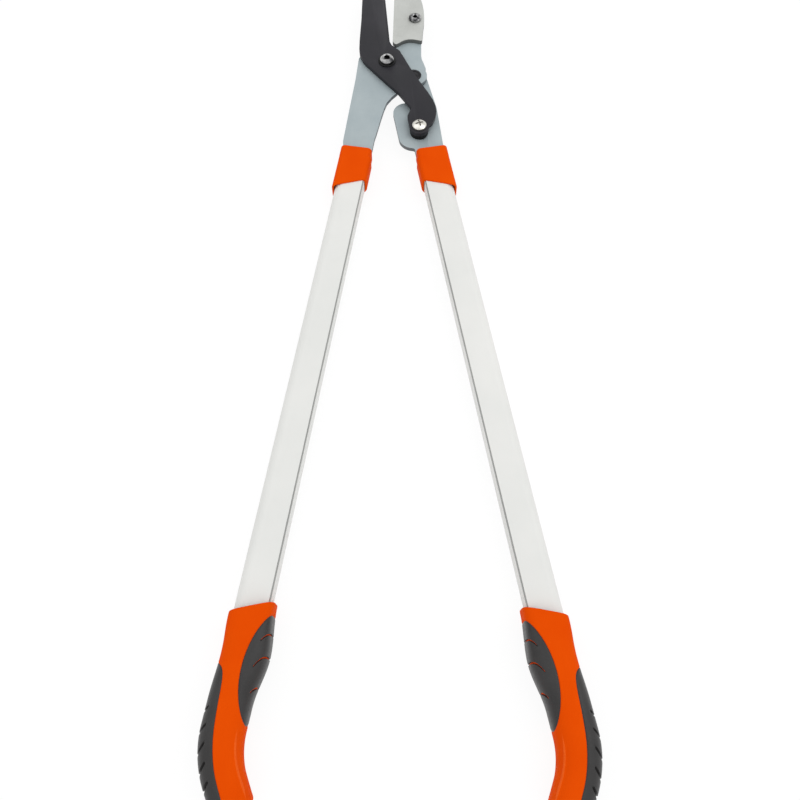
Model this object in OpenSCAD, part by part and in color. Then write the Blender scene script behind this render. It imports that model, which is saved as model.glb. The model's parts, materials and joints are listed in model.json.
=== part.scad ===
// Anvil lopper with a lever-multiplied blade, lying flat on its back.
// X is to the right, Y towards the blade's tip and Z up towards the front of the tool.
// The origin is under the middle of the whole tool, on the surface that it lies on.

/* [Pivot places] */
// Main pivot of the blade, left or right of the middle
main_pivot_x = -13.75; // [-16:0.05:-12]
// Main pivot of the blade, forward of the middle
main_pivot_y = 272.4; // [265:0.5:280]
// Handle pivot, to the right of the main pivot
handle_pivot_dx = 26.4; // [25.5:0.1:28]
// Handle pivot, forward of the main pivot
handle_pivot_dy = -14.5; // [-16:0.1:-13]
// Slide pin, right of the main pivot along the closed blade
slide_pin_dx = 24.3; // [23:0.1:25.5]
// Slide pin, forward of the main pivot along the closed blade
slide_pin_dy = -87.8; // [-90:0.1:-85]

/* [Motion] */
// Turn of the blade for each degree of the right handle
blade_ratio = 0.76; // [0.74:0.01:0.78]
// Right handle's opening as the tool lies here, from closed
handle_open = 7.8; // [6:0.1:10]
// Right handle's opening when the tool is wide open, from closed
handle_open_max = 50; // [40:1:50]

/* [Handles] */
// Lean of the left handle from straight back
left_lean = 8.7; // [7:0.1:10]
// Lean of the right handle from straight back, when closed
right_lean_closed = 2.2; // [1:0.1:4]
// Left tube's axis, right of the main pivot
left_axis_x = -9.9; // [-11:0.1:-9]
// Right tube's axis, right of the handle pivot
right_axis_x = -1.3; // [-2:0.1:0]
// Main pivot to the left collar's top
left_reach = 114; // [112:0.2:118]
// Handle pivot to the right collar's top
right_reach = 98; // [96:0.2:102]
// Left collar's top to the top of its grip, along the tube
left_grip_start = 426; // [380:1:460]
// Right collar's top to the top of its grip, along the tube
right_grip_start = 430.5; // [380:1:460]
// Height of the handles' middle plane above the resting surface
handle_height = 15.5; // [15.5:0.1:18]

/* [Plates] */
// Thickness of each steel handle plate
plate_t = 4; // [3.5:0.1:5]
// Thickness of the blade and its lever
blade_t = 4; // [3.5:0.1:5]
// Thickness of the thin washers between the plates
shim_t = 0.5; // [0.4:0.1:1]
// Half width of a plate just above its collar
plate_half_w = 13.7; // [13.4:0.1:14.4]
// Half width of a plate inside its collar
neck_half_w = 12.8; // [12:0.1:13.2]
// Length of a plate's full width inside its collar
neck_depth = 9; // [6:0.5:11]
// Width of the tang inside the tube
tang_w = 19; // [16:0.5:20]
// Length of the tang inside the tube
tang_len = 44; // [38:1:55]
// Radius of the plates round the handle pivot
pivot_boss_r = 13.4; // [13:0.1:14]

/* [Blade] */
// Cutting edge, right of the main pivot
edge_x = 4.9; // [4.5:0.1:5.5]
// Blade's tip, forward of the main pivot
blade_reach = 129.5; // [122:0.5:132]
// Radius of the blade's curved nose
nose_r = 50.5; // [48:0.5:60]
// Greatest width of the blade
blade_w = 31.4; // [30:0.1:32]
// Width of the ground bevel along the edge
bevel_w = 3.2; // [2:0.1:4]
// Thickness left at the edge
edge_t = 0.5; // [0.3:0.1:1]
// Radius of the lever's end round the slide pin
lever_end_r = 9.3; // [9:0.1:9.8]

/* [Anvil] */
// Lean of the anvil's face to the right
anvil_lean = 1.2; // [0.5:0.1:2]
// Width of the anvil at its widest
anvil_w = 31.6; // [30:0.1:34]
// Thickness of the anvil
anvil_t = 4.5; // [4.4:0.1:6]
// Anvil's tip, forward of the main pivot
anvil_reach = 127; // [120:0.5:129]
// Radius of the anvil's curved back
anvil_back_r = 125; // [120:1:140]
// Anvil screw, right of the main pivot along the anvil
anvil_screw_x = 27.1; // [26:0.1:28]
// Anvil screw, forward of the main pivot along the anvil
anvil_screw_y = 60.8; // [57:0.2:65]
// Width of the shallow groove along the anvil's face
anvil_groove_w = 1.2; // [0.8:0.1:1.6]

/* [Fasteners] */
// Shank diameter of the main pivot bolt
main_bolt_d = 8; // [7:0.5:8]
// Head diameter of the main pivot bolt
main_head_d = 14; // [13:0.5:15]
// Head height of the main pivot bolt
main_head_h = 5.4; // [4.5:0.1:5.5]
// Shank diameter of the handle pivot bolt
handle_bolt_d = 8; // [7:0.5:8]
// Head diameter of the handle pivot bolt
handle_head_d = 15.6; // [14:0.1:16]
// Head thickness of the handle pivot bolt, let into the plate
handle_head_h = 2; // [1.5:0.1:2.2]
// Shank diameter of the slide pin
slide_screw_d = 6; // [5:0.5:6]
// Head diameter of the slide pin
slide_head_d = 13.4; // [12:0.1:14]
// Head height of the slide pin
slide_head_h = 4.2; // [3.4:0.1:5]
// Shank diameter of the anvil screw
anvil_screw_d = 6; // [5:0.5:6]
// Head diameter of the anvil screw
anvil_head_d = 12.8; // [12:0.1:13.5]
// Head height of the anvil screw
anvil_head_h = 4.2; // [3.5:0.1:4.5]
// Wall of the sleeve between the main bolt and the blade
sleeve_wall = 1.5; // [1:0.1:2]
// Diameter of the slide bush inside its slot
bush_d = 12; // [11:0.1:13]
// Diameter of the slide bush's flange
flange_d = 17.4; // [17:0.1:18]

/* [Tubes] */
// Width of the tube across the handle
tube_w = 26; // [25:0.1:26.5]
// Thickness of the tube
tube_t = 16; // [15:0.1:16.5]
// Wall of the tube
tube_wall = 1.6; // [1.2:0.1:2]
// Width of the raised rail's margin on the inner side
rail_w = 3.3; // [2.5:0.1:4]
// Step down from the tube's flat to the rail's margin
rail_step = 0.7; // [0.4:0.1:1]
// Collar's top to the top of the tube
tube_inset = 13; // [12:0.5:15]
// Length of the tube inside the grip
tube_in_grip = 76; // [60:1:78]
// Diameter of the tang rivets
rivet_d = 5; // [4:0.1:6]
// First tang rivet, from the collar's top
rivet_first = 22; // [20:0.5:24]
// Distance between the tang rivets
rivet_pitch = 13; // [11:0.5:14]

/* [Collars] */
// Width of a collar
collar_w = 30.2; // [30:0.1:32]
// Thickness of a collar
collar_t = 19; // [18.5:0.1:20]
// Length of a collar on the outer side
collar_len = 48; // [46:0.5:51]
// Slant of the collar's lower rim, longer on the outer side
collar_slant = 18; // [10:0.5:20]
// Length of the narrower lip at the collar's top
lip_len = 5; // [3:0.5:7]
// Step in from the collar's side to the lip
lip_step = 0.5; // [0.3:0.1:0.6]

/* [Grips] */
// Half width of the grip at the middle of its palm swell
grip_half_w = 16.8; // [16.4:0.1:17.6]
// Half width of the grip's top
top_half_w = 15.6; // [15.2:0.1:16.2]
// Half width of the grip at its waist and bend
waist_half_w = 15.1; // [14.8:0.1:15.8]
// Half thickness of the grip
grip_half_t = 15.5; // [15:0.1:15.5]
// Length of the grip's straight stretch
grip_straight = 80.5; // [76:0.5:84]
// Radius of the grip's bend
bend_r = 59; // [54:1:66]
// Turn of the grip's bend
bend_turn = 32; // [28:1:36]
// Length of the grip's straight end after the bend
grip_tail = 17.5; // [14:0.5:21]
// Slant of the grip's butt, longer on the outer side
butt_slant = 14; // [10:1:20]
// Inward bow of the straight stretch
bow = 2.7; // [1.5:0.1:3.5]
// Inward shift of the grip's top from the tube's axis
top_shift = 0.8; // [0:0.1:1.2]
// Outward shift of the grip's waist from the tube's axis
waist_shift = 0.6; // [0:0.1:1.2]
// Slant of the grip's top rim
rim_slant = 20; // [14:1:22]
// Squareness of the grip's section, where 2 is an ellipse
grip_power = 2.5; // [2.3:0.05:2.7]
// Narrowing of the grip's half width towards the butt
butt_taper = 1.2; // [0:0.1:1.6]
// Rounding of the grip's butt
butt_round = 3.5; // [3:0.5:6]
// Radius of the inner pad's curved edge
pad_r = 70; // [60:1:80]
// Nearest reach of the inner pad to the grip's middle line
pad_edge = 5.7; // [5:0.1:7]
// Middle of the inner pad below the grip's top
pad_mid = 41; // [38:0.5:44]
// Start of the outer pad below the grip's top
strip_start = 39; // [36:0.5:42]
// Outer pad's edge from the middle line, at its wide end
strip_edge = 3.3; // [2.5:0.1:4]
// Outer pad's edge from the middle line, below its point
strip_shoulder = 8.8; // [8:0.1:10]
// Half thickness of the core under the pads
core_half_t = 11.2; // [10.8:0.1:11.6]

/* [Clearances] */
// Round the pins that turn
running_gap = 0.06; // [0.04:0.01:0.09]
// Between pieces that are fixed together
fixed_gap = 0.05; // [0.03:0.01:0.1]
// Between the closed edge and the anvil's face
edge_gap = 0.1; // [0.05:0.01:0.2]
// Between the slide bush's flange and its plate
flange_gap = 0.25; // [0.15:0.05:0.4]

/* [Hidden] */
$fn = 64;

// Levels of the flat layers, from the back to the front
lever_plate_z = handle_height - plate_t;
anvil_plate_z = handle_height + shim_t;
anvil_z = anvil_plate_z + plate_t;
blade_z = anvil_z + shim_t;
blade_top = blade_z + blade_t;

// Openings of the two moving bodies from closed
blade_open = blade_ratio * handle_open;
right_lean = right_lean_closed + handle_open;

// Places that several pieces share
main_pivot = [main_pivot_x, main_pivot_y];
handle_pivot = main_pivot + [handle_pivot_dx, handle_pivot_dy];
slide_pin_closed = turned([slide_pin_dx, slide_pin_dy], -anvil_lean);

washer_t = 1.2;
front_washer_t = 1;
front_washer_d = 17;
back_washer_d = 17;
shim_d = 22;
main_nut_w = 13;
main_nut_h = 6.8;
slide_washer_d = 18;
slide_nut_w = 10;
slide_nut_h = 5;
anvil_nut_h = 4.6;
plate_round = 2;
arm_inset = 1.6;
sides = 24;
collar_r = 6.5;
tube_corner_r = 3;
core_half_w = 12.2;
core_flat_w = 10.2;
core_side_t = 9;
top_margin = 12;
strip_lead = 7;
strip_widening = 36;
bevel_start = 27;
nut_chamfer = 0.6;
insert_past = 6;
head_dish = 0.6;
head_lip = 2;

steel_paint = [0.65, 0.69, 0.71];
blade_black = [0.22, 0.22, 0.24];
cast_grey = [0.75, 0.75, 0.74];
bright_steel = [0.82, 0.81, 0.78];
dark_steel = [0.35, 0.35, 0.36];
orange_plastic = [0.92, 0.32, 0.05];
pale_aluminium = [0.9, 0.9, 0.88];
pad_grey = [0.28, 0.28, 0.28];
bush_black = [0.08, 0.08, 0.08];

// Points and frames

function turned(p, a) = [p.x * cos(a) - p.y * sin(a), p.x * sin(a) + p.y * cos(a)];
function arc(centre, r, from, to, steps) =
    [for (i = [0:steps]) let (a = from + (to - from) * i / steps) centre + r * [cos(a), sin(a)]];
function mix(a, b, t) = a + (b - a) * t;
function clamped(t) = max(0, min(1, t));
function smooth(t) = clamped(t) * clamped(t) * (3 - 2 * clamped(t));

// Along the anvil, with the cutting face parallel to Y
module anvil_frame() {
    translate(main_pivot) rotate(-anvil_lean) children();
}

// Along the blade, with the cutting edge parallel to Y
module blade_frame() {
    translate(main_pivot) rotate(blade_open - anvil_lean) children();
}

// From a pivot, with the handle running along -Y
module left_frame() {
    translate(main_pivot) rotate(-left_lean) children();
}

module right_frame() {
    translate(handle_pivot) rotate(right_lean) children();
}

// From the middle of a collar's top, with +X away from the other handle
module left_handle() {
    left_frame() translate([left_axis_x, -left_reach, handle_height]) mirror([1, 0, 0]) children();
}

module right_handle() {
    right_frame() translate([right_axis_x, -right_reach, handle_height]) children();
}

// Fasteners

module hex_nut(width, height, bore, z) {
    translate([0, 0, z]) difference() {
        intersection() {
            cylinder(d = width / cos(30), h = height, $fn = 6);
            rotate_extrude() polygon([
                [0, 0], [width / 2, 0], [width / 2 / cos(30), nut_chamfer],
                [width / 2 / cos(30), height - nut_chamfer], [width / 2, height], [0, height]]);
        }
        translate([0, 0, -1]) cylinder(d = bore, h = height + 2);
    }
}

module washer(outer, inner, thick, z) {
    translate([0, 0, z]) difference() {
        cylinder(d = outer, h = thick);
        translate([0, 0, -1]) cylinder(d = inner, h = thick + 2);
    }
}

// A dome over a straight rim, standing on Z zero
module domed_head(head_d, head_h, rim_h) {
    dome_h = head_h - rim_h;
    dome_r = (head_d * head_d / 4 + dome_h * dome_h) / (2 * dome_h);
    intersection() {
        cylinder(d = head_d, h = head_h);
        translate([0, 0, head_h - dome_r]) sphere(r = dome_r);
    }
}

// A domed head with a hexagon socket, its shank running down from the head
module button_bolt(head_d, head_h, rim_h, shank_d, shank_len, socket_w, z) {
    translate([0, 0, z]) difference() {
        union() {
            domed_head(head_d, head_h, rim_h);
            translate([0, 0, -shank_len]) cylinder(d = shank_d, h = shank_len + 0.5);
        }
        translate([0, 0, head_h * 0.4]) cylinder(d = socket_w / cos(30), h = head_h, $fn = 6);
    }
}

// Plate outlines

// The neck and tang of a plate, on the axis of its tube
module tang_outline(axis_x, reach) {
    translate([axis_x - neck_half_w, -reach - neck_depth]) square([2 * neck_half_w, neck_depth + 1]);
    translate([axis_x - tang_w / 2, -reach - tube_inset - tang_len])
        square([tang_w, tube_inset + tang_len]);
}

module rounded(r) {
    offset(r = -r) offset(r = 2 * r) offset(r = -r) children();
}

// The arm behind the anvil follows the anvil's own back, set in a little
function anvil_back(inset) = let (
        top = anvil_reach - inset,
        r = anvil_back_r,
        centre = [edge_x + anvil_w - r - inset, anvil_screw_y]
    ) arc(centre, r, asin(-14 / r), asin((top - anvil_screw_y) / r), 12);

module anvil_plate_outline() {
    anvil_arm = [for (p = anvil_back(arm_inset)) turned(p, -anvil_lean)];
    neck_inner = left_axis_x + plate_half_w;
    neck_outer = left_axis_x - plate_half_w;
    outer_side = [
        [neck_outer, -left_reach], [neck_outer - 1.6, -left_reach + 9], [-26.6, -60],
        [-27.6, -25], [-29.4, 4], [-26.4, 12.5], [-14, 21]];
    inner_side = [
        [11.8, -42.2], [7.9, -50.5], [6.7, -58.5], [5.7, -70], [5.2, -78], [4.6, -88],
        [neck_inner, -left_reach + 16], [neck_inner, -left_reach]];
    rounded(plate_round) {
        translate(main_pivot) polygon(concat(
            [for (p = outer_side) turned(p, -left_lean)],
            [turned([edge_x + arm_inset, 25], -anvil_lean),
             turned([edge_x + arm_inset, anvil_reach - 12], -anvil_lean)],
            [for (i = [len(anvil_arm) - 1:-1:0]) anvil_arm[i]],
            [[34.5, 25], [34.3, 12.5], [35, 7], [36.8, 1.5], [handle_pivot_dx + pivot_boss_r - 0.9, -6], [18, -29]],
            [for (p = inner_side) turned(p, -left_lean)]));
        translate(handle_pivot) circle(r = pivot_boss_r);
    }
    left_frame() tang_outline(left_axis_x, left_reach);
}

module lever_plate_outline() {
    rounded(plate_round) right_frame() {
        hull() {
            circle(r = pivot_boss_r - 0.3);
            translate([5.4, -42]) circle(r = 10);
            translate([1, -40]) circle(r = 10);
        }
        // The wide lobe that holds the slot
        hull() {
            translate([-14.8, -43.5]) circle(r = 12.8);
            translate([-13.8, -75]) circle(r = 13.8);
            translate([5.4, -42]) circle(r = 10);
            translate([right_axis_x + plate_half_w - 5, -right_reach + 6]) circle(r = 5);
            translate([right_axis_x, -right_reach + 8]) circle(r = 2);
        }
        translate([right_axis_x - plate_half_w, -right_reach]) square([2 * plate_half_w, 20]);
    }
    right_frame() tang_outline(right_axis_x, right_reach);
}

// The slide pin's place on the lever plate when the handle has opened by an angle from closed
function pin_on_plate(opening) = let (
        pin = turned(slide_pin_closed, blade_ratio * opening) - [handle_pivot_dx, handle_pivot_dy]
    ) turned(pin, -opening - right_lean_closed);

// The curved slot holds the pin to a steady ratio between the handle and the blade
module slide_slot(r) {
    steps = 24;
    thread = 0.02;
    path = [for (i = [0:steps]) pin_on_plate(handle_open_max * i / steps)];
    offset(r = r - thread, $fn = 96) polygon(concat(
        [for (p = path) p - [thread, 0]],
        [for (i = [steps:-1:0]) path[i] + [thread, 0]]));
}

// Blade and anvil

// The back curves round to the tip at the end of the cutting edge
module blade_outline() {
    back = edge_x - blade_w;
    nose_x = edge_x + nose_r * 0.52;
    nose_y = blade_reach - sqrt(nose_r * nose_r - pow(nose_x - edge_x, 2));
    tip_angle = atan2(blade_reach - nose_y, edge_x - nose_x);
    rounded(1.2) {
        polygon(concat(
            [[edge_x, 26.6]],
            arc([nose_x, nose_y], nose_r, tip_angle, 174, 12),
            [[back + 4.7, 62], [back + 2.9, 47], [back + 1, 31], [back, 19], [back + 0.2, 11.5],
             [back + 2.9, 2.8], [back + 7.2, -4.2], [-9.6, -18], [-1.4, -30], [7.5, -42.2],
             [19, -63.6], [slide_pin_dx - lever_end_r - 0.8, -74],
             [slide_pin_dx - lever_end_r, slide_pin_dy], [slide_pin_dx + lever_end_r, slide_pin_dy],
             [37, -84.8], [40.6, -78], [42.4, -70.5], [42.4, -64], [40.6, -55.5], [36.2, -43.9],
             [29.4, -28.9], [22.1, -10.6], [17.3, 3.6], [13.5, 13.7], [10.2, 17.6], [6.4, 21.8]]));
        translate([slide_pin_dx, slide_pin_dy]) circle(r = lever_end_r);
    }
}

// One ground face along the whole edge, from the front or the back
module bevel_cut(side) {
    drop = (blade_t - edge_t) / 2;
    slope = atan(drop / bevel_w);
    middle = blade_z + blade_t / 2;
    translate([edge_x, bevel_start, middle]) scale([1, 1, side])
        translate([0, 0, edge_t / 2]) rotate([0, slope, 0])
            translate([-3 * bevel_w, 0, 0]) cube([6 * bevel_w, blade_reach, blade_t]);
}

module blade_lever() {
    color(blade_black) blade_frame() difference() {
        translate([0, 0, blade_z]) linear_extrude(blade_t) blade_outline();
        translate([0, 0, blade_z - 1])
            cylinder(d = main_bolt_d + 2 * sleeve_wall + 2 * running_gap, h = blade_t + 2);
        translate([slide_pin_dx, slide_pin_dy, blade_z - 1])
            cylinder(d = slide_screw_d + 2 * fixed_gap, h = blade_t + 2);
        bevel_cut(1);
        bevel_cut(-1);
    }
}

module anvil_outline() {
    heel = 27.6;
    face_x = edge_x + edge_gap;
    // The wavy lower end, by the distance from the face and from the heel
    wave = [
        [1.7, -2.6], [2.7, -3.7], [4.4, -3.5], [6.7, -1.8], [8.6, -0.1], [10.6, 1.3], [13.2, 2.6],
        [15.8, 3.3], [18.6, 3.6], [21.6, 3.4], [26, 2.3], [28.8, 1.6], [29.9, 2.6]];
    polygon(concat(
        [[face_x, anvil_reach - 6], [face_x, heel]],
        [for (p = wave) [edge_x + p.x, heel + p.y]],
        anvil_back(0)));
}

module anvil() {
    color(cast_grey) anvil_frame() difference() {
        translate([0, 0, anvil_z]) linear_extrude(anvil_t) anvil_outline();
        translate([anvil_screw_x, anvil_screw_y, anvil_z - 1])
            cylinder(d = anvil_screw_d + 2 * fixed_gap, h = anvil_t + 2);
        // The groove that the edge closes into
        translate([edge_x - 1, 34, blade_z + blade_t / 2 - anvil_groove_w / 2])
            cube([1.6, anvil_reach - 48, anvil_groove_w]);
    }
}

module anvil_plate() {
    color(steel_paint) difference() {
        translate([0, 0, anvil_plate_z]) linear_extrude(plate_t) anvil_plate_outline();
        translate([main_pivot.x, main_pivot.y, anvil_plate_z - 1])
            cylinder(d = main_bolt_d + 2 * fixed_gap, h = plate_t + 2);
        translate([handle_pivot.x, handle_pivot.y, anvil_plate_z - 1])
            cylinder(d = handle_bolt_d + 2 * fixed_gap, h = plate_t + 2);
        translate([handle_pivot.x, handle_pivot.y, anvil_z - handle_head_h])
            cylinder(d = handle_head_d + 2 * fixed_gap, h = plate_t);
        anvil_frame() translate([anvil_screw_x, anvil_screw_y, anvil_plate_z - 1])
            cylinder(d = anvil_screw_d + 2 * fixed_gap, h = plate_t + 2);
        left_handle() rivet_holes();
    }
}

module lever_plate() {
    color(steel_paint) difference() {
        translate([0, 0, lever_plate_z]) linear_extrude(plate_t) lever_plate_outline();
        translate([handle_pivot.x, handle_pivot.y, lever_plate_z - 1])
            cylinder(d = handle_bolt_d + 2 * running_gap, h = plate_t + 2);
        right_frame() translate([0, 0, lever_plate_z - 1])
            linear_extrude(plate_t + 2) slide_slot(bush_d / 2 + running_gap);
        right_handle() rivet_holes();
    }
}

// Fastener stacks at the four places

module anvil_screw() {
    color(dark_steel) anvil_frame() translate([anvil_screw_x, anvil_screw_y, 0])
        button_bolt(anvil_head_d, anvil_head_h, 1, anvil_screw_d,
            anvil_t + plate_t + anvil_nut_h + 1, 4, anvil_z + anvil_t);
}

module anvil_nut() {
    color(bright_steel) anvil_frame() translate([anvil_screw_x, anvil_screw_y, 0])
        hex_nut(10, anvil_nut_h, anvil_screw_d + 2 * fixed_gap, anvil_plate_z - anvil_nut_h);
}

module main_pivot_bolt() {
    stack = front_washer_t + blade_t + shim_t + plate_t + washer_t + main_nut_h + 1;
    color(dark_steel) translate(main_pivot)
        button_bolt(main_head_d, main_head_h, 2, main_bolt_d, stack, 5, blade_top + front_washer_t);
}

module main_pivot_washer() {
    color(bush_black) translate(main_pivot)
        washer(front_washer_d, main_bolt_d + 2 * fixed_gap, front_washer_t, blade_top);
}

module main_pivot_sleeve() {
    color(bright_steel) translate(main_pivot)
        washer(main_bolt_d + 2 * sleeve_wall, main_bolt_d + 2 * fixed_gap, blade_t, blade_z);
}

module main_pivot_shim() {
    color(bright_steel) translate(main_pivot)
        washer(shim_d, main_bolt_d + 2 * fixed_gap, shim_t, anvil_z);
}

module main_pivot_back_washer() {
    color(bright_steel) translate(main_pivot)
        washer(back_washer_d, main_bolt_d + 2 * fixed_gap, washer_t, anvil_plate_z - washer_t);
}

module main_pivot_nut() {
    color(bright_steel) translate(main_pivot)
        hex_nut(main_nut_w, main_nut_h, main_bolt_d + 2 * fixed_gap,
            anvil_plate_z - washer_t - main_nut_h);
}

module handle_pivot_bolt() {
    low = lever_plate_z - washer_t - slide_nut_h - 1;
    color(bush_black) translate(handle_pivot) difference() {
        union() {
            translate([0, 0, anvil_z - handle_head_h]) cylinder(d = handle_head_d, h = handle_head_h);
            translate([0, 0, low]) cylinder(d = handle_bolt_d, h = anvil_z - low - 0.5);
        }
        translate([0, 0, anvil_z - head_dish]) cylinder(d = handle_head_d - 2 * head_lip, h = 1);
    }
}

module handle_pivot_shim() {
    color(bright_steel) translate(handle_pivot)
        washer(shim_d, handle_bolt_d + 2 * fixed_gap, shim_t, handle_height);
}

module handle_pivot_washer() {
    color(bright_steel) translate(handle_pivot)
        washer(back_washer_d, handle_bolt_d + 2 * fixed_gap, washer_t, lever_plate_z - washer_t);
}

module handle_pivot_nut() {
    color(bright_steel) translate(handle_pivot)
        hex_nut(main_nut_w, slide_nut_h, handle_bolt_d + 2 * fixed_gap,
            lever_plate_z - washer_t - slide_nut_h);
}

module at_slide_pin() {
    blade_frame() translate([slide_pin_dx, slide_pin_dy, 0]) children();
}

module slide_screw() {
    low = lever_plate_z - flange_gap - washer_t - slide_nut_h - 1;
    cross_w = 1.4;
    cross_len = slide_head_d * 0.56;
    cross_turn = 12;
    color(bright_steel) at_slide_pin() difference() {
        union() {
            translate([0, 0, blade_top]) domed_head(slide_head_d, slide_head_h, 1);
            translate([0, 0, low]) cylinder(d = slide_screw_d, h = blade_top - low + 0.5);
        }
        for (a = [0, 90]) rotate(a + cross_turn)
            translate([-cross_len / 2, -cross_w / 2, blade_top + slide_head_h * 0.5])
                cube([cross_len, cross_w, slide_head_h]);
    }
}

module slide_bush() {
    bush_bottom = lever_plate_z - flange_gap;
    flange_bottom = handle_height + flange_gap;
    color(bush_black) at_slide_pin() difference() {
        union() {
            translate([0, 0, bush_bottom]) cylinder(d = bush_d, h = blade_z - bush_bottom);
            translate([0, 0, flange_bottom]) cylinder(d = flange_d, h = blade_z - flange_bottom);
        }
        translate([0, 0, bush_bottom - 1])
            cylinder(d = slide_screw_d + 2 * fixed_gap, h = blade_z - bush_bottom + 2);
    }
}

module slide_washer() {
    color(bright_steel) at_slide_pin()
        washer(slide_washer_d, slide_screw_d + 2 * fixed_gap, washer_t,
            lever_plate_z - flange_gap - washer_t);
}

module slide_nut() {
    color(bright_steel) at_slide_pin()
        hex_nut(slide_nut_w, slide_nut_h, slide_screw_d + 2 * fixed_gap,
            lever_plate_z - flange_gap - washer_t - slide_nut_h);
}

// Handle tubes, their inserts, rivets and collars

// A D-shaped section: round outside, flat inside, with a lower margin along the flat's edge
module tube_section(grow) {
    round_x = tube_w / 2 - tube_t / 2;
    half_t = tube_t / 2 + grow;
    low_half_t = half_t - rail_step;
    step_left = -tube_w / 2 + rail_w - grow;
    translate([round_x, 0]) circle(r = half_t);
    translate([step_left, -half_t]) square([round_x - step_left, 2 * half_t]);
    rounded_box(tube_w / 2 + grow, low_half_t, tube_corner_r + grow);
}

// Draws a section across the handle and runs it down the tube's axis
module along_handle(from, to) {
    translate([0, -from, 0]) rotate([90, 0, 0]) linear_extrude(to - from) children();
}

module rivet_places() {
    for (i = [0, 1]) translate([0, -rivet_first - i * rivet_pitch, 0]) children();
}

module rivet_holes() {
    rivet_places() translate([0, 0, -tube_t]) cylinder(d = rivet_d + 2 * fixed_gap, h = 2 * tube_t);
}

module handle_tube(grip_start) {
    color(pale_aluminium) difference() {
        along_handle(tube_inset, grip_start + tube_in_grip) tube_section(0);
        along_handle(tube_inset - 1, grip_start + tube_in_grip + 1) tube_section(-tube_wall);
        rivet_holes();
    }
}

module tang_insert(plate_z) {
    color(bush_black) difference() {
        along_handle(tube_inset, tube_inset + tang_len + insert_past) tube_section(-tube_wall - fixed_gap);
        translate([-tang_w / 2 - fixed_gap, -tube_inset - tang_len - fixed_gap,
                plate_z - handle_height - fixed_gap])
            cube([tang_w + 2 * fixed_gap, tang_len + 10, plate_t + 2 * fixed_gap]);
        rivet_holes();
    }
}

module tang_rivets() {
    color(bright_steel) rivet_places()
        translate([0, 0, -tube_t / 2]) cylinder(d = rivet_d, h = tube_t);
}

module rounded_box(half_w, half_t, r) {
    for (x = [-1, 1], y = [-1, 1]) translate([x * (half_w - r), y * (half_t - r)]) circle(r = r);
    square([2 * half_w, 2 * (half_t - r)], center = true);
    square([2 * (half_w - r), 2 * half_t], center = true);
}

module collar_section(inset) {
    rounded_box(collar_w / 2 - inset, collar_t / 2 - inset, collar_r);
}

module handle_collar(plate_z) {
    slot_z = plate_z - handle_height - fixed_gap;
    slot_t = plate_t + 2 * fixed_gap;
    color(orange_plastic) difference() {
        union() {
            along_handle(0, lip_len) collar_section(lip_step);
            along_handle(lip_len, 1.2 * collar_len) collar_section(0);
        }
        along_handle(tube_inset - fixed_gap, 1.5 * collar_len) tube_section(fixed_gap);
        translate([-neck_half_w - fixed_gap, -neck_depth - fixed_gap, slot_z])
            cube([2 * (neck_half_w + fixed_gap), neck_depth + 2, slot_t]);
        translate([-tang_w / 2 - fixed_gap, -tube_inset - 1, slot_z])
            cube([tang_w + 2 * fixed_gap, tube_inset + 2, slot_t]);
        // The slanted lower rim
        translate([collar_w / 2, -collar_len, 0]) rotate(-collar_slant)
            translate([-2 * collar_w, -2 * collar_w, -collar_w])
                cube([3 * collar_w, 2 * collar_w, 2 * collar_w]);
    }
}

// Grips

bend_len = bend_r * bend_turn * PI / 180;
bow_len = 0.8 * grip_straight;

// Middle line of the grip and its heading, by the length along it
function grip_mid(t) = t < grip_straight
    ? [mix(-top_shift, waist_shift, clamped(t / grip_straight))
        - bow * pow(sin(180 * clamped(t / bow_len)), 2), -t]
    : let (
            a = min(t - grip_straight, bend_len) / bend_r * 180 / PI,
            past = max(0, t - grip_straight - bend_len)
        ) [waist_shift - bend_r * (1 - cos(a)) - past * sin(a),
            -grip_straight - bend_r * sin(a) - past * cos(a)];
function grip_heading(t) = max(0, min(t - grip_straight, bend_len)) / bend_r * 180 / PI;
function grip_across(t) = let (a = grip_heading(t)) [cos(a), -sin(a)];

// Half width and half thickness by the length along the grip
function half_w_at(t) = mix(
    mix(top_half_w, waist_half_w, clamped(t / grip_straight)), grip_half_w,
    pow(sin(180 * clamped(t / bow_len)), 2))
    - butt_taper * smooth((t - grip_straight) / (bend_len + grip_tail));
function half_t_at(t) = mix(grip_half_t - 1.6, grip_half_t, smooth(t / 24))
    - 0.8 * smooth((t - grip_straight) / bend_len);

// Slant of a ring along the heading, by the length along the grip
function ring_slant(t) = tan(rim_slant) * (1 - smooth(t / 30))
    + tan(butt_slant) * smooth((t - grip_straight - bend_len / 2) / (bend_len / 2 + grip_tail));

function signed_power(v, e) = sign(v) * pow(abs(v), e);

// One ring of the grip: t along it, shrink on both half sizes, slant of the rim
function grip_ring(t, shrink) = let (
        mid = grip_mid(t),
        across = grip_across(t),
        w = half_w_at(t) - shrink,
        h = half_t_at(t) - shrink,
        row = across + ring_slant(t) * [across.y, -across.x]
    ) [for (i = [0:sides - 1]) let (
            a = 360 * i / sides,
            u = w * signed_power(cos(a), 2 / grip_power),
            v = h * signed_power(sin(a), 2 / grip_power)
        ) [mid.x + row.x * u, mid.y + row.y * u, v]];

grip_len = grip_straight + bend_len + grip_tail;
grip_stations = concat(
    [[0, 1], [1, 0]],
    [for (t = [7:8:grip_straight - 4]) [t, 0]],
    [for (i = [0:6]) [grip_straight + bend_len * i / 6, 0]],
    [[grip_len - grip_tail / 2, 0], [grip_len, 0]],
    [for (a = [30, 60, 80]) [grip_len + butt_round * sin(a), butt_round * (1 - cos(a))]]);

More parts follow.
